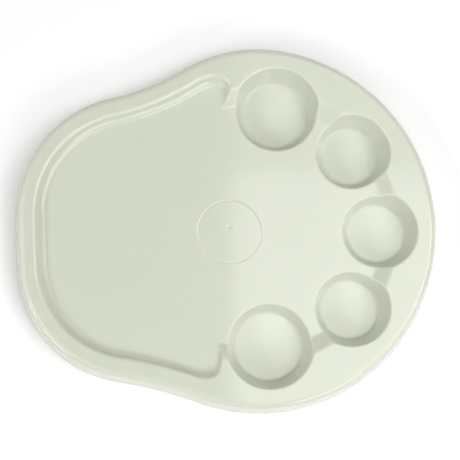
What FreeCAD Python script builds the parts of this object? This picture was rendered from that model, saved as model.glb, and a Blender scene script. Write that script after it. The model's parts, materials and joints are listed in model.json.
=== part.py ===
import FreeCAD, Part
import math
import os
import Sketcher

# Mixing palette: one thin plastic moulding.  A rounded outline carries a skirt down to the
# table, a raised rim and crescent deck, a sunken mixing area and five round paint wells.
# X runs along the length with the wells at +X, Z is up, and the origin is the middle of the
# footprint on the table.  Names with "top" lie on the +Y side and names with "low" on the -Y
# side, as the palette is seen from above.

os.makedirs("parts", exist_ok=True)
doc = FreeCAD.newDocument("mixing_palette")

# ---- driving dimensions (mm, degrees) ----------------------------------------------------

dims = {
    "overallHeight": 19.0,       # table to deck
    "wall": 2.0,                 # moulded wall
    "skirtDraft": 9.0,           # lean of the skirt
    "edgeRound": 4.7,            # rounding at the top of the skirt
    # four corner arcs of the footprint
    "topRightX": 21.65, "topRightY": 25.2, "topRightRadius": 99.7,
    "topLeftX": -61.15, "topLeftY": 9.4, "topLeftRadius": 82.1,
    "lowLeftX": -60.15, "lowLeftY": -23.7, "lowLeftRadius": 81.2,
    "lowRightX": 21.95, "lowRightY": -5.8, "lowRightRadius": 119.1,
    # arcs that link the corners: two hollow shoulders, the left side and the right end
    "topHollowRadius": 159.5,
    "leftSideRadius": 960.0,
    "lowHollowRadius": 268.7,
    "rightSideRadius": 126.0,
    # mixing area
    "mixDepth": 5.5,             # deck to mixing floor
    "rimWidth": 14.8,            # footprint to the edge of the mixing area
    "mixDraft": 35.0,            # lean of the wall round the mixing area
    "mixTopRound": 3.0,
    "mixFootRound": 6.0,
    # where the rim line turns in beside the two large wells
    "topNotchX": -4.6, "topNotchY": 95.4, "topNotchRadius": 6.5,
    "lowNotchX": -12.3, "lowNotchY": -93.4, "lowNotchRadius": 8.9,
    "topNotchLean": 0.0, "lowNotchLean": 11.0,    # of their walls, towards the wells in plan
    "shoulderRadius": 22.0,      # from the rim line into each notch corner
    "notchReach": 30.0,
    # ramp from the mixing floor up to the crescent deck
    "rampX": 22.2, "rampY": 1.1,
    "rampFootRadius": 83.9,
    "rampSlope": 30.0,
    "rampRound": 5.0,
    # wells
    "largeWellRadius": 29.3,     # at the deck
    "smallWellRadius": 26.1,
    "wellDraft": 19.5,
    "wellFloorRound": 2.0,
    "wellLipRound": 1.5,
    # marks that the mould leaves on the mixing floor
    "ringX": 1.8, "ringY": -4.2, "ringRadius": 21.4, "ringWidth": 0.8, "ringDepth": 0.25,
    "gateY": -0.4, "gateRadius": 2.2, "gateDepth": 0.5,
}
wells = {
    "wellOne": (33.65, 79.1, "large"),
    "wellTwo": (84.65, 50.1, "small"),
    "wellThree": (102.15, -3.4, "small"),
    "wellFour": (83.05, -55.2, "small"),
    "wellFive": (28.55, -80.0, "large"),
}
for wellName, (wellX, wellY, wellSize) in wells.items():
    dims[wellName + "X"] = wellX
    dims[wellName + "Y"] = wellY

sheet = doc.addObject("Spreadsheet::Sheet", "Dimensions")
for row, (alias, value) in enumerate(dims.items(), start=1):
    sheet.set("A%d" % row, alias)
    sheet.set("B%d" % row, str(value))
    sheet.setAlias("B%d" % row, alias)
doc.recompute()


def dim(alias):
    """A driving dimension, as the sheet holds it."""
    return float(sheet.get(alias))


def cell(alias):
    """The same dimension, as an expression names it."""
    return "Dimensions." + alias


# ---- plan geometry: chains of tangent arcs ------------------------------------------------

def vec(x, y, z=0.0):
    return FreeCAD.Vector(x, y, z)


def circleMeet(a, ra, b, rb, side):
    """The point at distance ra from a and rb from b, left (+1) or right (-1) of a to b."""
    gap = b - a
    span = gap.Length
    along = (ra * ra - rb * rb + span * span) / (2 * span)
    across = math.sqrt(ra * ra - along * along)
    return a + gap * (along / span) + vec(-gap.y, gap.x) * (side * across / span)


def withNeighbours(ring):
    """Each item of a closed chain, between the one before it and the one after it."""
    return zip(ring[-1:] + ring[:-1], ring, ring[1:] + ring[:1])


class Bend:
    """One arc of an outline: its circle, and whether the outline is hollow there."""

    def __init__(self, name, centre, radius, hollow=False):
        self.name = name
        self.centre = centre
        self.radius = radius
        self.hollow = hollow

    def grown(self, growth):
        """The same arc after the whole outline has moved outwards by this much."""
        change = -growth if self.hollow else growth
        return Bend(self.name, self.centre, self.radius + change, self.hollow)


def touch(first, second):
    """The point where two neighbouring bends meet."""
    if first.hollow != second.hollow:
        return first.centre + (second.centre - first.centre).normalize() * first.radius
    big, small = (first, second) if first.radius > second.radius else (second, first)
    return big.centre + (small.centre - big.centre).normalize() * big.radius


def cornerBend(name):
    return Bend(name, vec(dim(name + "X"), dim(name + "Y")), dim(name + "Radius"))


def linkBend(name, first, second, hollow):
    """The arc of a given radius that touches two corner arcs."""
    radius = dim(name + "Radius")
    sign = 1 if hollow else -1
    centre = circleMeet(first.centre, radius + sign * first.radius,
                        second.centre, radius + sign * second.radius, -sign)
    return Bend(name, centre, radius, hollow)


def notchShoulder(name, hollow, notch, side):
    """The wide bend between the rim line and a notch corner."""
    radius = dim("shoulderRadius")
    centre = circleMeet(hollow.centre, hollow.radius + radius,
                        notch.centre, radius - notch.radius, side)
    return Bend(name, centre, radius)


topRight = cornerBend("topRight")
topLeft = cornerBend("topLeft")
lowLeft = cornerBend("lowLeft")
lowRight = cornerBend("lowRight")
topHollow = linkBend("topHollow", topRight, topLeft, True)
leftSide = linkBend("leftSide", topLeft, lowLeft, False)
lowHollow = linkBend("lowHollow", lowLeft, lowRight, True)
rightSide = linkBend("rightSide", lowRight, topRight, False)
footprint = [topRight, topHollow, topLeft, leftSide, lowLeft, lowHollow, lowRight, rightSide]

rimLine = [bend.grown(-dim("rimWidth")) for bend in footprint[1:6]]
topNotch = cornerBend("topNotch")
lowNotch = cornerBend("lowNotch")
topShoulder = notchShoulder("topShoulder", rimLine[0], topNotch, -1)
lowShoulder = notchShoulder("lowShoulder", rimLine[-1], lowNotch, 1)
mixingLine = [topNotch, topShoulder] + rimLine + [lowShoulder, lowNotch]


def notchWall(notch, side):
    """Ends of the straight wall that runs in from a notch corner (side +1 top, -1 low)."""
    lean = math.radians(dim(notch.name + "Lean"))
    start = notch.centre + vec(math.cos(lean), side * math.sin(lean)) * notch.radius
    return start, start + vec(math.sin(lean), -side * math.cos(lean)) * dim("notchReach")


# ---- sketches -----------------------------------------------------------------------------

def newSketch(body, name, role="XY_Plane", level=None):
    """A sketch on one of the body's own planes, lifted to the level that an expression gives."""
    sketch = body.newObject("Sketcher::SketchObject", name)
    plane = next(item for item in body.Origin.OriginFeatures if item.Role == role)
    sketch.AttachmentSupport = (plane, [""])
    sketch.MapMode = "FlatFace"
    if level:
        sketch.setExpression("AttachmentOffset.Base.z", level)
    return sketch


def arcGeometry(bend, start, stop):
    """Arcs run counterclockwise, so a hollow one is drawn from its far end."""
    if bend.hollow:
        start, stop = stop, start
    first = math.atan2(start.y - bend.centre.y, start.x - bend.centre.x)
    last = math.atan2(stop.y - bend.centre.y, stop.x - bend.centre.x)
    circle = Part.Circle(bend.centre, vec(0, 0, 1), bend.radius)
    return Part.ArcOfCircle(circle, first, last)


def bindValue(sketch, constraint, label, expression):
    number = sketch.addConstraint(constraint)
    sketch.renameConstraint(number, label)
    sketch.setExpression("Constraints." + label, expression)


def place(axis, index, point, reach):
    """Holds a point (3 is an arc's centre) at a distance from the origin along an axis."""
    return Sketcher.Constraint("Distance" + axis, -1, 1, index, point, reach)


def bindCentre(sketch, index, bend):
    bindValue(sketch, place("X", index, 3, bend.centre.x), bend.name + "X", cell(bend.name + "X"))
    bindValue(sketch, place("Y", index, 3, bend.centre.y), bend.name + "Y", cell(bend.name + "Y"))


def bindRadius(sketch, index, bend, growth):
    alias = "shoulderRadius" if bend.name.endswith("Shoulder") else bend.name + "Radius"
    sign = "-" if bend.hollow else "+"
    bindValue(sketch, Sketcher.Constraint("Radius", index, bend.radius), bend.name + "R",
              "%s %s (%s)" % (cell(alias), sign, growth))


def joinTangent(sketch, first, second, firstHollow=False, secondHollow=False):
    """The end of one piece of outline meets the start of the next without a corner."""
    leave = 1 if firstHollow else 2
    enter = 2 if secondHollow else 1
    sketch.addConstraint(Sketcher.Constraint("Tangent", first, leave, second, enter))


def footprintSketch(body, name, growth, growthValue):
    """The palette's outline on the table, moved outwards by a growth (expression and value)."""
    sketch = newSketch(body, name)
    bends = [bend.grown(growthValue) for bend in footprint]
    corners = (topRight.name, topLeft.name, lowLeft.name, lowRight.name)
    indices = []
    for before, bend, after in withNeighbours(bends):
        arc = arcGeometry(bend, touch(before, bend), touch(bend, after))
        indices.append(sketch.addGeometry(arc))
    for index, bend in zip(indices, bends):
        if bend.name in corners:
            bindCentre(sketch, index, bend)
        bindRadius(sketch, index, bend, growth)
    for (_, bend, after), (_, index, nextIndex) in zip(withNeighbours(bends),
                                                       withNeighbours(indices)):
        joinTangent(sketch, index, nextIndex, bend.hollow, after.hollow)
    return sketch


def mixingSketch(body, name, level, growth, growthValue):
    """Outline of the mixing area: rim line, notch corners, notch walls and a closing line."""
    sketch = newSketch(body, name, level=level)
    bends = [bend.grown(growthValue) for bend in mixingLine]
    topStart, topEnd = notchWall(bends[0], 1)
    lowStart, lowEnd = notchWall(bends[-1], -1)
    joints = [touch(first, second) for first, second in zip(bends[:-1], bends[1:])]
    points = [topStart] + joints + [lowStart]
    indices = []
    for bend, start, stop in zip(bends, points[:-1], points[1:]):
        indices.append(sketch.addGeometry(arcGeometry(bend, start, stop)))
    for i, (first, second) in enumerate(zip(bends[:-1], bends[1:])):
        joinTangent(sketch, indices[i], indices[i + 1], first.hollow, second.hollow)
    rimNames = [bend.name for bend in rimLine]
    for index, bend in zip(indices, bends):
        if bend.name in ("topLeft", "lowLeft", "topNotch", "lowNotch"):
            bindCentre(sketch, index, bend)
        if bend.hollow:
            sketch.addConstraint(place("X", index, 3, bend.centre.x))
        inset = " - " + cell("rimWidth") if bend.name in rimNames else ""
        bindRadius(sketch, index, bend, growth + inset)
    lowWall = sketch.addGeometry(Part.LineSegment(lowStart, lowEnd))
    across = sketch.addGeometry(Part.LineSegment(lowEnd, topEnd))
    topWall = sketch.addGeometry(Part.LineSegment(topEnd, topStart))
    joinTangent(sketch, indices[-1], lowWall)
    sketch.addConstraint(Sketcher.Constraint("Coincident", lowWall, 2, across, 1))
    sketch.addConstraint(Sketcher.Constraint("Coincident", across, 2, topWall, 1))
    joinTangent(sketch, topWall, indices[0])
    for label, wallLine, point, end in (("lowReach", lowWall, 2, lowEnd),
                                        ("topReach", topWall, 1, topEnd)):
        sketch.addConstraint(place("X", wallLine, point, end.x))
        bindValue(sketch, Sketcher.Constraint("Distance", wallLine, dim("notchReach")),
                  label, cell("notchReach"))
    return sketch


def roundedCorner(before, here, after, rounding):
    """Start, middle and end of the arc that rounds one corner of a profile."""
    back = (before - here).normalize()
    ahead = (after - here).normalize()
    half = back.getAngle(ahead) / 2
    length = rounding / math.tan(half)
    inward = (back + ahead).normalize()
    middle = here + inward * (rounding / math.sin(half) - rounding)
    return here + back * length, middle, here + ahead * length


def profileSketch(body, name, centreX, centreY, corners):
    """A closed profile of (radius, height, rounding) corners, turned about its own axis later."""
    sketch = newSketch(body, name, "XZ_Plane")
    sketch.setExpression("AttachmentOffset.Base.x", centreX)
    sketch.setExpression("AttachmentOffset.Base.z", "-" + centreY)
    points = [vec(reach, level) for reach, level, _ in corners]
    ends = []
    for i, (_, _, rounding) in enumerate(corners):
        if rounding:
            after = points[(i + 1) % len(points)]
            start, middle, stop = roundedCorner(points[i - 1], points[i], after, rounding)
            sketch.addGeometry(Part.Arc(start, middle, stop))
            ends.append((start, stop))
        else:
            ends.append((points[i], points[i]))
    for here, after in zip(ends, ends[1:] + ends[:1]):
        sketch.addGeometry(Part.LineSegment(here[1], after[0]))
    return sketch


# ---- features -----------------------------------------------------------------------------

def checked(feature):
    """Recompute, and stop if the feature failed."""
    doc.recompute()
    if "Invalid" in feature.State or not feature.Shape.isValid():
        raise RuntimeError(feature.Name + " failed: " + feature.getStatusString())
    return feature


def raiseSkirted(body, kind, name, sketch, length, reverse=False):
    """Pad or pocket an outline upwards, leaning in with the skirt's draft."""
    feature = body.newObject("PartDesign::" + kind, name)
    feature.Profile = sketch
    feature.Reversed = reverse
    feature.setExpression("Length", length)
    feature.setExpression("TaperAngle", "-" + cell("skirtDraft"))
    return checked(feature)


def loftDown(body, kind, name, growth, growthValue, depth, depthValue):
    """Join the mixing outline at deck level to the smaller one at a depth below it."""
    shrink = "%s - (%s) * tan(%s)" % (growth, depth, cell("mixDraft"))
    shrinkValue = growthValue - depthValue * math.tan(mixLean)
    rim = mixingSketch(body, name + "Rim", cell("overallHeight"), growth, growthValue)
    foot = mixingSketch(body, name + "Foot", "%s - (%s)" % (cell("overallHeight"), depth),
                        shrink, shrinkValue)
    feature = body.newObject("PartDesign::" + kind, name)
    feature.Profile = rim
    feature.Sections = [foot]
    feature.Ruled = True
    return checked(feature)


def turn(body, kind, name, centreX, centreY, corners):
    """Add or cut a profile turned right round the vertical through its own centre."""
    sketch = profileSketch(body, name + "Profile", centreX, centreY, corners)
    feature = body.newObject("PartDesign::" + kind, name)
    feature.Profile = sketch
    feature.ReferenceAxis = (sketch, ["V_Axis"])
    feature.Angle = 360
    return checked(feature)


def roundEdges(body, name, base, chosen, radius):
    """Fillet the edges of the base feature that the test picks."""
    names = ["Edge%d" % (i + 1) for i, edge in enumerate(base.Shape.Edges) if chosen(edge)]
    if not names:
        raise RuntimeError(name + " has no edges")
    feature = body.newObject("PartDesign::Fillet", name)
    feature.Base = (base, names)
    feature.setExpression("Radius", radius)
    return checked(feature)


near = 0.05                      # slack when an edge's place is tested
outlineWire = Part.Wire([
    arcGeometry(bend, touch(before, bend), touch(bend, after)).toShape()
    for before, bend, after in withNeighbours(footprint)])


def atLevel(edge, level):
    box = edge.BoundBox
    return abs(box.ZMin - level) < near and abs(box.ZMax - level) < near


def roundMixing(edge, level):
    """True for an edge at a level that lies inside the rim line."""
    middle = edge.valueAt((edge.FirstParameter + edge.LastParameter) / 2)
    inside = outlineWire.distToShape(Part.Vertex(vec(middle.x, middle.y)))[0]
    return atLevel(edge, level) and inside > dim("rimWidth") - near


def onLip(edge):
    """True for an edge where a well meets the deck, the ramp or the mixing floor."""
    if edge.BoundBox.ZMin < floorLevel - near:
        return False
    drift = dim("mixDepth") * wellRise
    first = edge.FirstParameter
    span = edge.LastParameter - first
    samples = [edge.valueAt(first + share * span) for share in (0.1, 0.5, 0.9)]
    for name, (_, _, kind) in wells.items():
        x, y = dim(name + "X"), dim(name + "Y")
        gaps = [dim(kind + "WellRadius") - math.hypot(p.x - x, p.y - y) for p in samples]
        if min(gaps) > -near and max(gaps) < drift + near:
            return True
    return False


# ---- the moulding -------------------------------------------------------------------------

height = dim("overallHeight")
wall = dim("wall")
floorLevel = height - dim("mixDepth")
mixLean = math.radians(dim("mixDraft"))
wellRise = math.tan(math.radians(dim("wellDraft")))
wellSpread = wall / math.cos(math.radians(dim("wellDraft")))
rampRise = math.tan(math.radians(dim("rampSlope")))
rampDrop = wall / math.cos(math.radians(dim("rampSlope")))
rampFoot = dim("rampFootRadius")
rampTop = rampFoot + dim("mixDepth") / rampRise
spill = 5.0                      # how far a cutting profile runs past the deck

moulding = doc.addObject("PartDesign::Body", "palette_moulding")
moulding.Label = "palette_moulding"

# outer block: leaning skirt with a rounded top edge
block = raiseSkirted(moulding, "Pad", "Block", footprintSketch(moulding, "Footprint", "0", 0.0),
                     cell("overallHeight"))
roundEdges(moulding, "EdgeRounding", block, lambda edge: atLevel(edge, height),
           cell("edgeRound"))

# hollow underneath, one wall inside the skirt and the deck
inner = footprintSketch(moulding, "InnerFootprint", "0 - " + cell("wall"), -wall)
under = raiseSkirted(moulding, "Pocket", "Underside", inner,
                     cell("overallHeight") + " - " + cell("wall"), reverse=True)
roundEdges(moulding, "UndersideRounding", under, lambda edge: atLevel(edge, height - wall),
           cell("edgeRound") + " - " + cell("wall"))

# pan: the underside of the mixing area, which hangs below the deck
loftDown(moulding, "AdditiveLoft", "Pan",
         "%s / cos(%s)" % (cell("wall"), cell("mixDraft")), wall / math.cos(mixLean),
         "%s + %s" % (cell("mixDepth"), cell("wall")), dim("mixDepth") + wall)

# drum: the underside of the ramp and of the round end of the mixing floor
turn(moulding, "Revolution", "Drum", cell("rampX"), cell("rampY"), [
    (0, floorLevel - wall, 0),
    (rampFoot + (rampDrop - wall) / rampRise, floorLevel - wall, dim("rampRound")),
    (rampTop + rampDrop / rampRise, height, 0),
    (0, height, 0)])

# cups: the outsides of the wells, which stand on the table
for name, (_, _, kind) in wells.items():
    top = dim(kind + "WellRadius") + wellSpread
    turn(moulding, "Revolution", name + "Cup", cell(name + "X"), cell(name + "Y"), [
        (0, 0, 0),
        (top - height * wellRise, 0, dim("wellFloorRound") + wall),
        (top, height, 0),
        (0, height, 0)])

# mixing area
mixing = loftDown(moulding, "SubtractiveLoft", "MixingArea", "0", 0.0,
                  cell("mixDepth"), dim("mixDepth"))
mixing = roundEdges(moulding, "MixingTopRounding", mixing,
                    lambda edge: roundMixing(edge, height), cell("mixTopRound"))
roundEdges(moulding, "MixingFootRounding", mixing,
           lambda edge: roundMixing(edge, floorLevel), cell("mixFootRound"))

# ramp and the round end of the mixing floor
turn(moulding, "Groove", "Ramp", cell("rampX"), cell("rampY"), [
    (0, floorLevel, 0),
    (rampFoot, floorLevel, dim("rampRound")),
    (rampTop, height, dim("rampRound")),
    (rampTop + spill, height, 0),
    (rampTop + spill, height + spill, 0),
    (0, height + spill, 0)])

# wells
for name, (_, _, kind) in wells.items():
    top = dim(kind + "WellRadius")
    lastWell = turn(moulding, "Groove", name, cell(name + "X"), cell(name + "Y"), [
        (0, wall, 0),
        (top - (height - wall) * wellRise, wall, dim("wellFloorRound")),
        (top + spill * wellRise, height + spill, 0),
        (0, height + spill, 0)])
roundEdges(moulding, "WellLips", lastWell, onLip, cell("wellLipRound"))

# witness ring and gate mark on the mixing floor: shallow v-shaped cuts
ringRadius = dim("ringRadius")
ringHalf = dim("ringWidth") / 2
turn(moulding, "Groove", "WitnessRing", cell("ringX"), cell("ringY"), [
    (ringRadius, floorLevel - dim("ringDepth"), 0),
    (ringRadius + ringHalf, floorLevel, 0),
    (ringRadius, floorLevel + dim("ringDepth"), 0),
    (ringRadius - ringHalf, floorLevel, 0)])
turn(moulding, "Groove", "GateMark", cell("ringX"), cell("gateY"), [
    (0, floorLevel - dim("gateDepth"), 0),
    (dim("gateRadius"), floorLevel, 0),
    (0, floorLevel + dim("gateDepth"), 0)])

# ---- checks and export --------------------------------------------------------------------

doc.recompute()
for item in doc.Objects:
    if "Invalid" in item.State or "Error" in item.State:
        raise RuntimeError(item.Label + " failed")
shape = moulding.Shape
if shape.isNull() or not shape.isValid() or len(shape.Solids) != 1:
    raise RuntimeError("the moulding is not one valid solid")
shape.exportStep("parts/palette_moulding.step")
print("palette_moulding: volume %.0f mm3, %s" % (shape.Volume, shape.BoundBox))
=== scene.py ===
import json
import math

import bpy
import numpy as np
from mathutils import Matrix, Vector
from mathutils.geometry import delaunay_2d_cdt


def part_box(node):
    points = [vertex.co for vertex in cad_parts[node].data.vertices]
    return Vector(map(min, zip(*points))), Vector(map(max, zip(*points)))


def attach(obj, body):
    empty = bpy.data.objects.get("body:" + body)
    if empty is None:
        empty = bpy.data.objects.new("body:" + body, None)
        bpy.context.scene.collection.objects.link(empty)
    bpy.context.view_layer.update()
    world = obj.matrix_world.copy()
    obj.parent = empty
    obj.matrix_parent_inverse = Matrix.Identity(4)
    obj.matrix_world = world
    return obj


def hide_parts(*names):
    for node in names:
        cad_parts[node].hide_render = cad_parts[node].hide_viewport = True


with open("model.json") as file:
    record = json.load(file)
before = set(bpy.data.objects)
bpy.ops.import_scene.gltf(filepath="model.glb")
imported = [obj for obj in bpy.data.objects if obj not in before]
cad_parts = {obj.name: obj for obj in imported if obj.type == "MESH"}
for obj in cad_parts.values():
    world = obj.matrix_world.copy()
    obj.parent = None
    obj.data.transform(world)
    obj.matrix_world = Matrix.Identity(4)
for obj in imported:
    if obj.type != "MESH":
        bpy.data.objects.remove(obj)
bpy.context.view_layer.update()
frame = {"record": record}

cadNode = "palette_moulding"
cadLow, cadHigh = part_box(cadNode)
millimetre = 0.001
fullTurn = 2 * math.pi
deckHeight = (cadHigh.z - cadLow.z) / millimetre

# The palette is one moulding: a top skin and an under skin that meet in a flat foot ring on
# the table. Both are drawn flat first, as a plan of points, and one tree presses them to
# height. Plan points are complex numbers in millimetres, x along the length, y across it.

moulding = {                        # mm, and degrees from upright for every lean
    "wall": 2.0,
    "skirtLean": 9.0,
    "edgeRound": 4.7,
    "mixDepth": 5.5,
    "mixLean": 35.0,
    "mixTopRound": 3.0,
    "mixFootRound": 6.0,
    "rampLean": 60.0,
    "rampRound": 5.0,
    "wellLean": 19.5,
    "wellLipRound": 1.5,
    "wellFloorRound": 2.0,
    "leastRound": 0.6,              # no corner of the under skin is sharper than this
    "tongueBlend": 1.4,             # how far the ramp and the mixing wall melt together
}
outline = {                         # corner arcs as centre and radius, then the arcs between
    "farRight": (21.65 + 25.2j, 99.7),
    "farLeft": (-61.15 + 9.4j, 82.1),
    "nearLeft": (-60.15 - 23.7j, 81.2),
    "nearRight": (21.95 - 5.8j, 119.1),
    "farHollowRadius": 159.5,
    "leftSideRadius": 960.0,
    "nearHollowRadius": 268.7,
    "rightSideRadius": 126.0,
    "spacing": 1.7,                 # from point to point
}
mixing = {
    "rimWidth": 14.8,
    "farNotch": (-4.6 + 95.4j, 6.5),
    "nearNotch": (-12.3 - 93.4j, 8.9),
    "farNotchLean": 0.0,            # of the notch walls, towards the wells in plan
    "nearNotchLean": 11.0,
    "shoulderRadius": 22.0,
    "notchReach": 30.0,
    "spacing": 1.5,
}
ramp = {"centre": 22.2 + 1.1j, "footRadius": 83.9, "points": 300}
wells = {
    "radius": {"well_one": 29.3, "well_two": 26.1, "well_three": 26.1, "well_four": 26.1,
               "well_five": 29.3},
    "points": 144,
    "lipStep": 0.2,
    "floorStep": 4.0,
    "innermost": 1.0,
}
marks = {                           # left by the mould on the mixing floor
    "ringCentre": 1.8 - 4.2j,
    "ringRadius": 21.4,
    "ringWidth": 0.9,
    "ringDepth": 0.22,
    "gateCentre": 1.8 - 0.4j,
    "gateRadius": 2.2,
    "gateDepth": 0.45,
    "points": 120,
    "gateEvery": 6,                 # the gate takes one in so many of those points
    "ringRows": (-5, -2, -1, -0.5, 0, 0.5, 1, 2, 5),        # in halves of the ring's width
    "gateRows": (0.001, 0.3, 0.6, 0.85, 1, 1.3, 1.9),       # in radii of the gate
    "ringClear": 3.2,
    "gateClear": 5.5,
}
tongue = {"along": 8.0, "reach": 15.0, "step": 0.65}    # fine net where a notch meets the ramp
plan = {                            # how closely the points lie, in mm or as a count
    "bendRows": 11,                 # across each rounding
    "wallRows": 2,                  # between the two roundings of a wall
    "underShare": 0.66,             # of the rows and points above, for the under skin
    "holds": (0.5, 1.7),            # rows beyond a bend that keep the flats flat
    "gap": 0.35,                    # least room between the rows of two features
    "netSpacing": 5.0,              # open net over what is flat
    "netGap": 1.0,
    "netClear": 4.0,                # from that net to the ramp and to the mixing wall
    "outlineStep": 0.5,
    "tolerance": 1e-4,
}


# arcs of the outlines, each a centre, a radius and whether the outline is hollow there

def meetCircles(a, radiusA, b, radiusB, side):
    gap = b - a
    along = (radiusA ** 2 - radiusB ** 2 + abs(gap) ** 2) / (2 * abs(gap))
    across = math.sqrt(radiusA ** 2 - along ** 2)
    return a + gap / abs(gap) * complex(along, side * across)


def linkArc(first, second, radius, hollow):
    sign = 1 if hollow else -1
    centre = meetCircles(first[0], radius + sign * first[1],
                         second[0], radius + sign * second[1], -sign)
    return centre, radius, hollow


def touchPoint(first, second):
    (a, radiusA, hollowA), (b, radiusB, hollowB) = first, second
    if hollowA == hollowB and radiusB > radiusA:
        a, radiusA, b = b, radiusB, a
    return a + (b - a) / abs(b - a) * radiusA


def firstAndTurn(arc, start, end):
    first = np.angle(start - arc[0])
    turn = (np.angle(end - arc[0]) - first) % fullTurn
    return first, turn - fullTurn if arc[2] else turn


def arcPoints(arc, start, end, spacing):        # points and outward normals, less the last
    first, turn = firstAndTurn(arc, start, end)
    count = max(2, math.ceil(abs(turn) * arc[1] / spacing))
    away = np.exp(1j * (first + turn * np.arange(count) / count))
    return arc[0] + arc[1] * away, -away if arc[2] else away


def linePoints(start, end, spacing):
    count = math.ceil(abs(end - start) / spacing)
    ahead = (end - start) / abs(end - start)
    points = start + (end - start) * np.arange(count) / count
    return points, np.full(count, -1j * ahead)


def footprintSpans():
    corner = [(*outline[name], False) for name in ("farRight", "farLeft", "nearLeft",
                                                   "nearRight")]
    links = [("farHollowRadius", True), ("leftSideRadius", False), ("nearHollowRadius", True),
             ("rightSideRadius", False)]
    arcs = []
    for i, (name, hollow) in enumerate(links):
        arcs += [corner[i], linkArc(corner[i], corner[(i + 1) % 4], outline[name], hollow)]
    joints = [touchPoint(arcs[i - 1], arcs[i]) for i in range(len(arcs))]
    return list(zip(arcs, joints, joints[1:] + joints[:1]))


def mixingSpans():                              # its arcs, and the two straight notch walls
    inset = mixing["rimWidth"]
    rim = [(centre, radius + inset if hollow else radius - inset, hollow)
           for (centre, radius, hollow), _, _ in footprint[1:6]]
    farNotch, nearNotch = (*mixing["farNotch"], False), (*mixing["nearNotch"], False)
    bend = mixing["shoulderRadius"]
    farBend = meetCircles(rim[0][0], rim[0][1] + bend, farNotch[0], bend - farNotch[1], -1)
    nearBend = meetCircles(rim[-1][0], rim[-1][1] + bend, nearNotch[0], bend - nearNotch[1], 1)
    arcs = [farNotch, (farBend, bend, False), *rim, (nearBend, bend, False), nearNotch]
    farSide = np.exp(1j * math.radians(mixing["farNotchLean"]))
    nearSide = np.exp(-1j * math.radians(mixing["nearNotchLean"]))
    farStart = farNotch[0] + farSide * farNotch[1]
    nearStart = nearNotch[0] + nearSide * nearNotch[1]
    farWall = (farStart - 1j * farSide * mixing["notchReach"], farStart)
    nearWall = (nearStart, nearStart + 1j * nearSide * mixing["notchReach"])
    joints = [farStart, *(touchPoint(a, b) for a, b in zip(arcs, arcs[1:])), nearStart]
    return list(zip(arcs, joints, joints[1:])), farWall, nearWall


def joined(pieces):
    return tuple(np.concatenate(part) for part in zip(*pieces))


footprint = footprintSpans()
mixingArcs, farWall, nearWall = mixingSpans()
mixingWalls = [nearWall, (nearWall[1], farWall[0]), farWall]
footprintLine = joined([arcPoints(*span, outline["spacing"]) for span in footprint])
mixingLine = joined([linePoints(*farWall, mixing["spacing"]),
                     *(arcPoints(*span, mixing["spacing"]) for span in mixingArcs),
                     linePoints(*nearWall, mixing["spacing"])])


# how far a plan point lies inside each feature that shapes the height

def insidePolygon(points, polygon):
    inside = np.zeros(len(points), bool)
    for a, b in zip(polygon, np.roll(polygon, -1)):
        level = (a.imag > points.imag) != (b.imag > points.imag)
        along = (points.imag[level] - a.imag) / (b.imag - a.imag) if level.any() else 0
        inside[level] ^= points.real[level] < a.real + along * (b.real - a.real)
    return inside


def insideBy(points, spans, walls=()):
    least = np.full(len(points), np.inf)
    slack = plan["tolerance"]
    for arc, start, end in spans:
        first, turn = firstAndTurn(arc, start, end)
        angle = np.angle(points - arc[0]) - first - min(turn, 0) + slack
        facing = angle % fullTurn < abs(turn) + 2 * slack
        gap = np.abs(np.abs(points - arc[0]) - arc[1])
        least = np.where(facing, np.minimum(least, gap), least)
    for start, end in walls:
        share = ((points - start) * np.conj(end - start)).real / abs(end - start) ** 2
        gap = np.abs(points - start - np.clip(share, 0, 1) * (end - start))
        least = np.minimum(least, gap)
    polygon, _ = joined([arcPoints(*span, plan["outlineStep"]) for span in spans]
                        + [linePoints(*wall, plan["outlineStep"]) for wall in walls])
    return np.where(insidePolygon(points, polygon), least, -least)


def wellCentres():                              # the record's openings stand over the wells
    centres = {}
    for opening in frame["record"]["physics"]["openings"]:
        if opening["name"] in wells["radius"]:
            low, high = (Vector(corner) for corner in opening["box_m"])
            middle = (low + high) / 2 / millimetre
            centres[opening["name"]] = complex(middle.x, middle.y)
    return centres


def run(lean):                                  # sideways for each millimetre of height
    return math.tan(math.radians(lean))


def skinShift(lean, depth):                     # how far a leaning wall moves out, wall on
    return depth * (1 / math.cos(math.radians(lean)) - run(lean))


wellCentre = wellCentres()
rampTop = ramp["footRadius"] + moulding["mixDepth"] * run(moulding["rampLean"])


def intoWells(points, leftOut=None):            # into the nearest well, less where outside
    return np.max([wells["radius"][name] - np.abs(points - wellCentre[name])
                   for name in wellCentre if name != leftOut], axis=0)


def fromRing(points):
    return np.abs(np.abs(points - marks["ringCentre"]) - marks["ringRadius"])


def measured(points):
    return {
        "intoEdge": insideBy(points, footprint),
        "intoMixing": insideBy(points, mixingArcs, mixingWalls),
        "intoRamp": rampTop - np.abs(points - ramp["centre"]),
        "intoWell": intoWells(points),
        "fromRing": fromRing(points),
        "fromGate": np.abs(points - marks["gateCentre"]),
    }


# the plan: rows of points along each feature, closest where the surface bends most

def bendRows(height, lean, topRound, footRound, bends):
    half = math.tan(math.radians(45 - lean / 2))
    turned = np.sin(math.radians(90 - lean) * np.linspace(0, 1, bends))
    top = topRound * (turned - half)
    foot = height * run(lean) + footRound * (half - turned[::-1])
    if not footRound:
        foot = foot[:1]
    middle = np.linspace(top[-1], foot[0], plan["wallRows"] + 2)[1:-1]
    return np.concatenate([top, middle, foot])


def around(count):                              # directions for a ring of points
    return np.exp(2j * math.pi * np.arange(count) / count)


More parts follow.
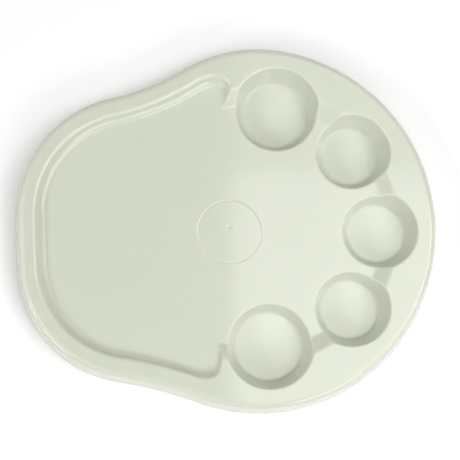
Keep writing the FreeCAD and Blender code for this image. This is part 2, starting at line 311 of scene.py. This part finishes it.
def skinPlan(depth, share):                     # depth under the top skin, share of its points
    m = moulding
    deck = deckHeight - depth
    bends = round(plan["bendRows"] * share)
    holds = np.array(plan["holds"])
    gap = plan["gap"]

    def softened(size):                         # an outside bend of the top is tighter below
        return max(size - depth, m["leastRound"])

    # skirt and rounded edge
    line, normal = footprintLine
    edge = bendRows(deck, m["skirtLean"], softened(m["edgeRound"]), 0, bends)
    edge = np.concatenate([edge[0] - holds[::-1], edge])[::-1]
    rows = [line - normal * (depth + edge[0] - into) for into in edge]
    keep = [np.full(len(line), True) for _ in rows]
    edgeReach = depth + edge[0] - edge[-1]

    tongues = [start + (end - start) / mixing["notchReach"] * tongue["along"]
               for start, end in (farWall[::-1], nearWall)]

    def outsideTongues(points, room):
        away = np.min([np.abs(points - spot) for spot in tongues], axis=0)
        return away > tongue["reach"] + room

    lipReach = m["wellLipRound"] * math.tan(math.radians(45 - m["wellLean"] / 2))
    wellReach = lipReach + holds[-1]

    def clearOfWells(points, room):
        return intoWells(points) < -(wellReach + room)

    # wall round the mixing area
    line, normal = mixingLine
    shift = skinShift(m["mixLean"], depth)
    steps = bendRows(m["mixDepth"], m["mixLean"], softened(m["mixTopRound"]),
                     m["mixFootRound"] + depth, bends)
    steps = np.concatenate([steps[0] - holds[::-1], steps, steps[-1] + holds])
    rampFloor = ramp["footRadius"] - holds[-1] - m["rampRound"] / 2
    for into in steps:
        points = line - normal * (into - shift)
        rows.append(points)
        keep.append(clearOfWells(points, gap) & outsideTongues(points, 0)
                    & (np.abs(points - ramp["centre"]) > rampFloor))
    mixReach = steps[-1] - shift

    # ramp
    shift = skinShift(m["rampLean"], depth)
    steps = bendRows(m["mixDepth"], m["rampLean"], softened(m["rampRound"]),
                     m["rampRound"] + depth, bends)
    steps = np.concatenate([steps[0] - holds[::-1], steps, steps[-1] + holds])
    for into in steps:
        points = ramp["centre"] + (rampTop + shift - into) * around(ramp["points"])
        rows.append(points)
        keep.append(clearOfWells(points, gap) & outsideTongues(points, 0)
                    & (insideBy(points, mixingArcs, mixingWalls) < -holds[-1]))

    # wells
    shift = skinShift(m["wellLean"], depth)
    away = around(round(wells["points"] * share))
    lowered = m["mixDepth"] * run(m["wellLean"])
    lip = softened(m["wellLipRound"])
    steps = bendRows(deckHeight - m["wall"], m["wellLean"], lip,
                     m["wellFloorRound"] + depth, bends)
    lipRows = np.arange(steps[0], lowered + lip, wells["lipStep"] / share)
    steps = steps[steps > lipRows[-1]]
    for name, centre in wellCentre.items():
        radius = wells["radius"][name]
        inner = np.arange(radius + shift - steps[-1] - holds[0], wells["innermost"],
                          -wells["floorStep"])
        circles = np.concatenate([radius + shift - lipRows[0] + holds[::-1],
                                  radius + shift - lipRows, radius + shift - steps, inner])
        for circle in circles:
            points = centre + circle * away
            rows.append(points)         # outside its rim it stops half way to the next well
            keep.append((circle <= radius) | (-intoWells(points, name) > circle - radius))
        rows.append(np.array([centre]))
        keep.append(np.array([True]))

    # fine net at the two tongues
    step = tongue["step"] / share
    side = np.arange(-tongue["reach"], tongue["reach"], step)
    lines = np.arange(-tongue["reach"], tongue["reach"], step * math.sqrt(3) / 2)
    for spot in tongues:
        for i, y in enumerate(lines):
            points = spot + side + (i % 2) * step / 2 + 1j * y
            rows.append(points)
            keep.append(clearOfWells(points, gap)
                        & (np.abs(points - spot) < tongue["reach"] - gap)
                        & (insideBy(points, footprint) > edgeReach + gap))

    # mould marks, on the top skin only
    if not depth:
        away = around(marks["points"])
        for part in marks["ringRows"]:
            rows.append(marks["ringCentre"]
                        + (marks["ringRadius"] + part * marks["ringWidth"] / 2) * away)
            keep.append(np.full(len(away), True))
        away = away[::marks["gateEvery"]]
        for part in marks["gateRows"]:
            rows.append(marks["gateCentre"] + part * marks["gateRadius"] * away)
            keep.append(np.full(len(away), True))

    # open net over what is flat: the mixing floor and the crescent deck
    flat, room, clear = plan["netSpacing"], plan["netGap"], plan["netClear"]
    for i, y in enumerate(np.arange(cadLow.y / millimetre, cadHigh.y / millimetre, flat)):
        points = np.arange(cadLow.x / millimetre, cadHigh.x / millimetre, flat) + i % 2 * flat / 2
        points = points + 1j * y
        intoMixing = insideBy(points, mixingArcs, mixingWalls)
        toRamp = np.abs(points - ramp["centre"])
        onFloor = (intoMixing > mixReach + room) | (toRamp < ramp["footRadius"] - clear)
        onDeck = (toRamp > rampTop + clear) & (intoMixing < -clear)
        rows.append(points)
        keep.append((onFloor | onDeck) & clearOfWells(points, room)
                    & outsideTongues(points, room)
                    & (insideBy(points, footprint) > edgeReach + room)
                    & (fromRing(points) > marks["ringClear"])
                    & (np.abs(points - marks["gateCentre"]) > marks["gateClear"]))
    points = np.concatenate([row[kept] for row, kept in zip(rows, keep)])
    return points, len(footprintLine[0])


def skinFaces(points, rimCount):                # triangles between the points, inside the rim
    flat = [Vector((p.real, p.imag)) for p in points]
    rim = [(i, (i + 1) % rimCount) for i in range(rimCount)]
    _, _, faces, sources, _, _ = delaunay_2d_cdt(flat, rim, [], 0, plan["tolerance"])
    source = np.array([src[0] for src in sources])
    faces = source[np.array(faces)]
    middles = points[faces].mean(axis=1)
    return faces[insidePolygon(middles, points[:rimCount])]


def planMesh():
    topPoints, rimCount = skinPlan(0, 1)
    underPoints, _ = skinPlan(moulding["wall"], plan["underShare"])
    print("plan: %d points above and %d below" % (len(topPoints), len(underPoints)))
    topFaces = skinFaces(topPoints, rimCount)
    underFaces = skinFaces(underPoints, rimCount)[:, ::-1] + len(topPoints)
    here = np.arange(rimCount)
    ahead = np.roll(here, -1)
    ring = np.stack([ahead, here, here + len(topPoints), ahead + len(topPoints)], axis=1)
    points = np.concatenate([topPoints, underPoints])
    spots = [(p.real * millimetre, p.imag * millimetre, 0) for p in points]
    mesh = bpy.data.meshes.new("palettePlan")
    mesh.from_pydata(spots, [], [*topFaces.tolist(), *underFaces.tolist(), *ring.tolist()])
    print("plan: %d faces" % len(mesh.polygons))
    for name, values in measured(points).items():
        mesh.attributes.new(name, "FLOAT", "POINT").data.foreach_set("value", values)
    below = np.arange(len(points)) >= len(topPoints)
    mesh.attributes.new("below", "BOOLEAN", "POINT").data.foreach_set("value", below)
    below = np.arange(len(mesh.polygons)) >= len(topFaces)
    mesh.attributes.new("belowFace", "BOOLEAN", "FACE").data.foreach_set("value", below)
    return mesh


# the press: one tree lifts both skins to height

def feed(tree, socket, value):                  # a plain number, or another node's output
    if isinstance(value, (int, float)):
        socket.default_value = value
    else:
        tree.links.new(value, socket)


def calculator(tree):
    def calc(operation, *values):
        node = tree.nodes.new("ShaderNodeMath")
        node.operation = operation
        for socket, value in zip(node.inputs, values):
            feed(tree, socket, value)
        return node.outputs[0]
    return calc


def newTree(name, inputs, outputs):
    tree = bpy.data.node_groups.new(name, "GeometryNodeTree")
    for label, kind in inputs.items():
        tree.interface.new_socket(label, in_out="INPUT", socket_type=kind)
    for label, kind in outputs.items():
        tree.interface.new_socket(label, in_out="OUTPUT", socket_type=kind)
    return tree, tree.nodes.new("NodeGroupInput").outputs, tree.nodes.new("NodeGroupOutput").inputs


def roundedStepTree():                          # height across one rounded step down
    names = ("Into", "Top", "Foot", "Lean", "Top Round", "Foot Round")
    tree, given, out = newTree("roundedStep", dict.fromkeys(names, "NodeSocketFloat"),
                               {"Height": "NodeSocketFloat"})
    calc = calculator(tree)
    into, top, foot, leanDegrees, topRound, footRound = (given[name] for name in names)
    lean = calc("RADIANS", leanDegrees)
    sideways = calc("TANGENT", lean)
    sharp = calc("SINE", lean)
    half = calc("TANGENT", calc("SUBTRACT", math.pi / 4, calc("MULTIPLY", lean, 0.5)))
    wall = calc("SUBTRACT", top, calc("DIVIDE", into, sideways))

    topReach = calc("MULTIPLY", topRound, half)
    pastTop = calc("MAXIMUM", calc("ADD", into, topReach), 0.0)
    topFall = calc("SQRT", calc("MAXIMUM", calc("SUBTRACT", calc("POWER", topRound, 2.0),
                                                calc("POWER", pastTop, 2.0)), 0.0))
    topBend = calc("ADD", calc("SUBTRACT", top, topRound), topFall)
    onTop = calc("LESS_THAN", into, calc("MULTIPLY", topReach, sharp))

    footReach = calc("MULTIPLY", footRound, half)
    footPlace = calc("MULTIPLY", calc("SUBTRACT", top, foot), sideways)
    toFoot = calc("MAXIMUM", calc("SUBTRACT", calc("ADD", footPlace, footReach), into), 0.0)
    footRise = calc("SQRT", calc("MAXIMUM", calc("SUBTRACT", calc("POWER", footRound, 2.0),
                                                 calc("POWER", toFoot, 2.0)), 0.0))
    footBend = calc("SUBTRACT", calc("ADD", foot, footRound), footRise)
    onFoot = calc("GREATER_THAN", into,
                  calc("SUBTRACT", footPlace, calc("MULTIPLY", footReach, sharp)))

    def either(choice, yes, no):
        return calc("ADD", calc("MULTIPLY", choice, yes),
                    calc("MULTIPLY", calc("SUBTRACT", 1.0, choice), no))

    height = either(onFoot, footBend, either(onTop, topBend, wall))
    tree.links.new(height, out["Height"])
    return tree


def skinTree(stepTree):                         # height of one skin from its own sizes
    names = ("Into Edge", "Into Mixing", "Into Ramp", "Into Well", "Deck", "Mixing Floor",
             "Well Floor", "Skirt Lean", "Edge Round", "Mixing Lean", "Mixing Top Round",
             "Mixing Foot Round", "Ramp Lean", "Ramp Top Round", "Ramp Foot Round",
             "Well Lean", "Lip Round", "Well Floor Round", "Tongue Blend")
    tree, given, out = newTree("skinHeight", dict.fromkeys(names, "NodeSocketFloat"),
                               {"Height": "NodeSocketFloat"})
    calc = calculator(tree)

    def step(*values):
        node = tree.nodes.new("GeometryNodeGroup")
        node.node_tree = stepTree
        for socket, value in zip(node.inputs, values):
            feed(tree, socket, value)
        return node.outputs[0]

    deck, floor = given["Deck"], given["Mixing Floor"]
    depth = calc("SUBTRACT", deck, floor)
    mixed = step(given["Into Mixing"], deck, floor, given["Mixing Lean"],
                 given["Mixing Top Round"], given["Mixing Foot Round"])
    ramped = step(given["Into Ramp"], deck, floor, given["Ramp Lean"],
                  given["Ramp Top Round"], given["Ramp Foot Round"])
    # the two melt together half way down, and not at all on the deck or on the floor
    lower = calc("MINIMUM", mixed, ramped)
    share = calc("DIVIDE", calc("SUBTRACT", deck, lower), depth)
    middle = calc("MULTIPLY", calc("MULTIPLY", share, calc("SUBTRACT", 1.0, share)), 4.0)
    melt = calc("MULTIPLY", given["Tongue Blend"],
                calc("SQRT", calc("MAXIMUM", middle, 0.0)))
    surface = calc("MAXIMUM", calc("SMOOTH_MIN", mixed, ramped,
                                   calc("MAXIMUM", melt, 0.001)), floor)
    sunk = calc("MULTIPLY", calc("SUBTRACT", deck, surface),
                calc("TANGENT", calc("RADIANS", given["Well Lean"])))
    welled = step(calc("SUBTRACT", given["Into Well"], sunk), surface, given["Well Floor"],
                  given["Well Lean"], given["Lip Round"], given["Well Floor Round"])
    skirtRun = calc("MULTIPLY", deck, calc("TANGENT", calc("RADIANS", given["Skirt Lean"])))
    edged = step(calc("SUBTRACT", skirtRun, given["Into Edge"]), deck, 0.0,
                 given["Skirt Lean"], given["Edge Round"], 0.0)
    tree.links.new(calc("MINIMUM", welled, edged), out["Height"])
    return tree


def pressTree(skin):
    m = moulding
    sizes = {"Deck": deckHeight, "Wall": m["wall"], "Skirt Lean": m["skirtLean"],
             "Edge Round": m["edgeRound"], "Mixing Depth": m["mixDepth"],
             "Mixing Lean": m["mixLean"], "Mixing Top Round": m["mixTopRound"],
             "Mixing Foot Round": m["mixFootRound"], "Ramp Lean": m["rampLean"],
             "Ramp Round": m["rampRound"], "Well Lean": m["wellLean"],
             "Lip Round": m["wellLipRound"], "Well Floor Round": m["wellFloorRound"],
             "Least Round": m["leastRound"], "Tongue Blend": m["tongueBlend"],
             "Ring Width": marks["ringWidth"], "Ring Depth": marks["ringDepth"],
             "Gate Radius": marks["gateRadius"], "Gate Depth": marks["gateDepth"]}
    inputs = {"Geometry": "NodeSocketGeometry", **dict.fromkeys(sizes, "NodeSocketFloat"),
              "Above": "NodeSocketMaterial", "Below": "NodeSocketMaterial"}
    tree, given, out = newTree("pressPalette", inputs, {"Geometry": "NodeSocketGeometry"})
    calc = calculator(tree)
    link = tree.links.new

    def attribute(name, kind="FLOAT"):
        node = tree.nodes.new("GeometryNodeInputNamedAttribute")
        node.data_type = kind
        node.inputs["Name"].default_value = name
        return node.outputs["Attribute"]

    def shifted(into, lean, wall):              # the same feature, one wall further out
        lean = calc("RADIANS", lean)
        spread = calc("SUBTRACT", calc("DIVIDE", 1.0, calc("COSINE", lean)),
                      calc("TANGENT", lean))
        return calc("ADD", into, calc("MULTIPLY", wall, spread))

    def skinHeight(wall, wellFloor):
        def tighter(size):
            return calc("MAXIMUM", calc("SUBTRACT", given[size], wall), given["Least Round"])

        def wider(size):
            return calc("ADD", given[size], wall)

        deck = calc("SUBTRACT", given["Deck"], wall)
        values = {
            "Into Edge": calc("SUBTRACT", attribute("intoEdge"), wall),
            "Into Mixing": shifted(attribute("intoMixing"), given["Mixing Lean"], wall),
            "Into Ramp": shifted(attribute("intoRamp"), given["Ramp Lean"], wall),
            "Into Well": shifted(attribute("intoWell"), given["Well Lean"], wall),
            "Deck": deck,
            "Mixing Floor": calc("SUBTRACT", deck, given["Mixing Depth"]),
            "Well Floor": wellFloor,
            "Skirt Lean": given["Skirt Lean"],
            "Edge Round": tighter("Edge Round"),
            "Mixing Lean": given["Mixing Lean"],
            "Mixing Top Round": tighter("Mixing Top Round"),
            "Mixing Foot Round": wider("Mixing Foot Round"),
            "Ramp Lean": given["Ramp Lean"],
            "Ramp Top Round": tighter("Ramp Round"),
            "Ramp Foot Round": wider("Ramp Round"),
            "Well Lean": given["Well Lean"],
            "Lip Round": tighter("Lip Round"),
            "Well Floor Round": wider("Well Floor Round"),
            "Tongue Blend": given["Tongue Blend"],
        }
        node = tree.nodes.new("GeometryNodeGroup")
        node.node_tree = skin
        for name, value in values.items():
            feed(tree, node.inputs[name], value)
        return node.outputs["Height"]

    def dent(away, reach, depth):               # a soft dent, deepest at its middle line
        near = calc("SUBTRACT", 1.0, calc("DIVIDE", away, reach))
        near = calc("MAXIMUM", near, 0.0)
        smooth = calc("MULTIPLY", calc("MULTIPLY", near, near),
                      calc("SUBTRACT", 3.0, calc("MULTIPLY", near, 2.0)))
        return calc("MULTIPLY", smooth, depth)

    ring = dent(attribute("fromRing"), calc("MULTIPLY", given["Ring Width"], 0.5),
                given["Ring Depth"])
    gate = dent(attribute("fromGate"), given["Gate Radius"], given["Gate Depth"])
    top = calc("SUBTRACT", skinHeight(0.0, given["Wall"]), calc("ADD", ring, gate))
    under = skinHeight(given["Wall"], 0.0)
    choose = tree.nodes.new("GeometryNodeSwitch")
    choose.input_type = "FLOAT"
    link(attribute("below", "BOOLEAN"), choose.inputs["Switch"])
    link(top, choose.inputs["False"])
    link(under, choose.inputs["True"])
    lift = tree.nodes.new("ShaderNodeCombineXYZ")
    link(calc("MULTIPLY", choose.outputs[0], millimetre), lift.inputs["Z"])
    place = tree.nodes.new("GeometryNodeSetPosition")
    link(given["Geometry"], place.inputs["Geometry"])
    link(lift.outputs[0], place.inputs["Offset"])
    smooth = tree.nodes.new("GeometryNodeSetShadeSmooth")
    link(place.outputs["Geometry"], smooth.inputs["Geometry"])
    realize = tree.nodes.new("GeometryNodeRealizeInstances")
    link(smooth.outputs["Geometry"], realize.inputs["Geometry"])
    above = tree.nodes.new("GeometryNodeSetMaterial")
    link(realize.outputs["Geometry"], above.inputs["Geometry"])
    link(given["Above"], above.inputs["Material"])
    below = tree.nodes.new("GeometryNodeSetMaterial")
    link(above.outputs["Geometry"], below.inputs["Geometry"])
    link(attribute("belowFace", "BOOLEAN"), below.inputs["Selection"])
    link(given["Below"], below.inputs["Material"])
    link(below.outputs["Geometry"], out["Geometry"])
    return tree, sizes


# plastic

plastic = {
    "milkiness": 0.5,               # share of the light that spreads inside the plastic
    "lightReach": 4.0,              # mm
    "lightSpread": (1.0, 0.95, 0.8),    # of red, green and blue, as shares of that reach
    "refraction": 1.5,
    "rippleHeight": 0.02,
    "sharpFrom": 55.0,              # degrees between faces
    "noise": {"cloud": (9.0, 3.0), "haze": (60.0, 4.0),     # scale and detail
              "sink": (22.0, 2.0), "grain": (900.0, 2.0)},
    "grainShare": 0.02,
    "gloss": {"colour": (0.625, 0.652, 0.55), "roughness": 0.08, "cloud": 0.02, "ripple": 0.012,
              "haze": 0.04},
    "satin": {"colour": (0.607, 0.634, 0.536), "roughness": 0.36, "cloud": 0.03, "ripple": 0.03,
              "haze": 0.06},
}


def mouldedGroup():                             # faint flow clouds, handling haze and sink
    group = bpy.data.node_groups.new("mouldedSurface", "ShaderNodeTree")
    for name, kind in (("Colour", "NodeSocketColor"), ("Roughness", "NodeSocketFloat"),
                       ("Cloud", "NodeSocketFloat"), ("Haze", "NodeSocketFloat")):
        group.interface.new_socket(name, in_out="INPUT", socket_type=kind)
    for name, kind in (("Colour", "NodeSocketColor"), ("Roughness", "NodeSocketFloat"),
                       ("Ripple", "NodeSocketFloat")):
        group.interface.new_socket(name, in_out="OUTPUT", socket_type=kind)
    given = group.nodes.new("NodeGroupInput").outputs
    out = group.nodes.new("NodeGroupOutput").inputs
    calc = calculator(group)
    place = group.nodes.new("ShaderNodeTexCoord").outputs["Object"]

    def noise(kind):
        node = group.nodes.new("ShaderNodeTexNoise")
        node.inputs["Scale"].default_value, node.inputs["Detail"].default_value = (
            plastic["noise"][kind])
        group.links.new(place, node.inputs["Vector"])
        return node.outputs[0]

    flow = calc("SUBTRACT", noise("cloud"), 0.5)
    shade = calc("ADD", 1.0, calc("MULTIPLY", flow, given["Cloud"]))
    tint = group.nodes.new("ShaderNodeVectorMath")
    tint.operation = "SCALE"
    group.links.new(given["Colour"], tint.inputs[0])
    group.links.new(shade, tint.inputs["Scale"])
    group.links.new(tint.outputs[0], out["Colour"])
    haze = calc("MULTIPLY", calc("SUBTRACT", noise("haze"), 0.5), given["Haze"])
    group.links.new(calc("ADD", given["Roughness"], haze), out["Roughness"])
    grain = calc("MULTIPLY", noise("grain"), plastic["grainShare"])
    group.links.new(calc("ADD", noise("sink"), grain), out["Ripple"])
    return group


def plasticMaterial(name, look, group):
    material = bpy.data.materials.new(name)
    material.use_nodes = True
    nodes, links = material.node_tree.nodes, material.node_tree.links
    shader = nodes["Principled BSDF"]
    shader.inputs["IOR"].default_value = plastic["refraction"]
    shader.inputs["Subsurface Weight"].default_value = plastic["milkiness"]
    shader.inputs["Subsurface Radius"].default_value = plastic["lightSpread"]
    shader.inputs["Subsurface Scale"].default_value = plastic["lightReach"] * millimetre
    surface = nodes.new("ShaderNodeGroup")
    surface.node_tree = group
    surface.inputs["Colour"].default_value = (*look["colour"], 1)
    for name in ("roughness", "cloud", "haze"):
        surface.inputs[name.capitalize()].default_value = look[name]
    bump = nodes.new("ShaderNodeBump")
    bump.inputs["Strength"].default_value = look["ripple"]
    bump.inputs["Distance"].default_value = plastic["rippleHeight"]
    links.new(surface.outputs["Colour"], shader.inputs["Base Color"])
    links.new(surface.outputs["Roughness"], shader.inputs["Roughness"])
    links.new(surface.outputs["Ripple"], bump.inputs["Height"])
    links.new(bump.outputs["Normal"], shader.inputs["Normal"])
    return material


def makePalette():
    group = mouldedGroup()
    gloss = plasticMaterial("glossCreamPlastic", plastic["gloss"], group)
    satin = plasticMaterial("satinCreamUnderside", plastic["satin"], group)
    tree, sizes = pressTree(skinTree(roundedStepTree()))
    blank = bpy.data.objects.new("paletteBlank", planMesh())
    bpy.context.scene.collection.objects.link(blank)
    press = blank.modifiers.new("press", "NODES")
    press.node_group = tree
    sockets = {item.name: item.identifier for item in tree.interface.items_tree
               if item.in_out == "INPUT"}
    for name, size in sizes.items():
        press[sockets[name]] = size
    press[sockets["Above"]] = gloss
    press[sockets["Below"]] = satin
    evaluated = blank.evaluated_get(bpy.context.evaluated_depsgraph_get())
    mesh = bpy.data.meshes.new_from_object(evaluated)
    mesh.name = "mouldedPalette"
    bpy.data.objects.remove(blank)
    planOnly = ("into", "from", "below")
    for name in [item.name for item in mesh.attributes if item.name.startswith(planOnly)]:
        mesh.attributes.remove(mesh.attributes[name])
    mesh.set_sharp_from_angle(angle=math.radians(plastic["sharpFrom"]))
    palette = bpy.data.objects.new("mouldedPalette", mesh)
    bpy.context.scene.collection.objects.link(palette)
    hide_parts(cadNode)
    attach(palette, "root")
    print("palette pressed: %d faces" % len(mesh.polygons))


# studio

studio = {
    "floorSize": 6.0,               # m
    "floorGap": 0.1,                # mm, under the palette's foot
    "floorColour": (0.93, 0.93, 0.93),
    "floorRoughness": 0.9,
    "world": 0.12,                  # light from all round
    "backdrop": 0.92,               # how pale the camera sees it
    # name: place (m), size (m), power (W)
    "softboxes": {                  # overhead, facing straight down
        "keySoftbox": ((0.268, -0.075, 1.3), (0.464, 0.75), 3.1),
        "farKeySoftbox": ((0.268, 0.65, 1.3), (0.464, 0.7), 1.0),
        "sideSoftbox": ((0.75, -0.075, 1.3), (0.5, 0.75), 4.6),
        "farSideSoftbox": ((0.75, 0.65, 1.3), (0.5, 0.7), 0.8),
        "rightSoftbox": ((1.25, -0.1, 1.3), (0.5, 0.8), 7.8),
        "leftSoftbox": ((-0.555, 0.0, 1.3), (0.39, 0.6), 2.3),
        "nearSoftbox": ((0.9, -0.75, 1.3), (0.8, 0.5), 3.3),
    },
    "panels": {                     # at the sides, turned to the palette
        "nearPanel": ((0.82, -1.43, 0.95), (0.9, 0.5), 8.2),
        "nearRightPanel": ((1.43, -0.82, 0.95), (0.9, 0.5), 3.1),
        "nearLeftPanel": ((-1.43, -0.82, 0.95), (0.9, 0.5), 10.3),
        "leftPanel": ((-1.65, 0.0, 0.95), (0.9, 0.5), 6.6),
        "farPanel": ((0.0, 1.88, 0.26), (0.9, 0.5), 2.2),
    },
}
cameraView = {
    "aim": (2.05, -3.7),            # mm, on the level of the deck
    "tilt": 9.0,                    # degrees
    "sideways": -1.5,
    "distance": 860.0,              # mm
    "lens": 100.75,
}


def makeFloor():
    size = studio["floorSize"] / 2
    level = cadLow.z - studio["floorGap"] * millimetre
    mesh = bpy.data.meshes.new("studioFloor")
    mesh.from_pydata([(x, y, level) for x, y in ((-size, -size), (size, -size), (size, size),
                                                 (-size, size))], [], [(0, 1, 2, 3)])
    material = bpy.data.materials.new("paleFloor")
    material.use_nodes = True
    shader = material.node_tree.nodes["Principled BSDF"]
    shader.inputs["Base Color"].default_value = (*studio["floorColour"], 1)
    shader.inputs["Roughness"].default_value = studio["floorRoughness"]
    shader.inputs["Specular IOR Level"].default_value = 0.0
    mesh.materials.append(material)
    floor = bpy.data.objects.new("studioFloor", mesh)
    bpy.context.scene.collection.objects.link(floor)


def addLamp(name, place, size, power):
    light = bpy.data.lights.new(name, "AREA")
    light.shape = "RECTANGLE"
    light.size, light.size_y = size
    light.energy = power
    lamp = bpy.data.objects.new(name, light)
    lamp.location = place
    bpy.context.scene.collection.objects.link(lamp)
    return lamp


def makeLights():
    for name, (place, size, power) in studio["softboxes"].items():
        addLamp(name, place, size, power)
    for name, (place, size, power) in studio["panels"].items():
        lamp = addLamp(name, place, size, power)
        lamp.rotation_euler = Vector(place).to_track_quat("Z", "Y").to_euler()
    world = bpy.data.worlds.new("studioWorld")
    world.use_nodes = True
    sky = world.node_tree.nodes["Background"]
    sky.inputs["Color"].default_value = (1, 1, 1, 1)
    tree = world.node_tree                      # the backdrop looks pale but lights little
    seen = tree.nodes.new("ShaderNodeLightPath").outputs["Is Camera Ray"]
    strength = tree.nodes.new("ShaderNodeMapRange")
    strength.inputs["To Min"].default_value = studio["world"]
    strength.inputs["To Max"].default_value = studio["backdrop"]
    tree.links.new(seen, strength.inputs["Value"])
    tree.links.new(strength.outputs["Result"], sky.inputs["Strength"])
    bpy.context.scene.world = world
    bpy.context.scene.view_settings.view_transform = "Standard"


def makeCamera():
    tilt, sideways = math.radians(cameraView["tilt"]), math.radians(cameraView["sideways"])
    back = Vector((math.sin(sideways), -math.sin(tilt) * math.cos(sideways),
                   math.cos(tilt) * math.cos(sideways)))
    aim = Vector((*(Vector(cameraView["aim"]) * millimetre), cadHigh.z))
    lens = bpy.data.cameras.new("studioCamera")
    lens.lens = cameraView["lens"]
    camera = bpy.data.objects.new("studioCamera", lens)
    up = (Vector((0, 1, 0)) - back * back.y).normalized()
    turned = Matrix((up.cross(back), up, back)).transposed()
    camera.matrix_world = Matrix.LocRotScale(aim + back * cameraView["distance"] * millimetre,
                                             turned.to_quaternion(), None)
    bpy.context.scene.collection.objects.link(camera)
    bpy.context.scene.camera = camera


makeCamera()
makeFloor()
makeLights()
print("studio ready")
makePalette()
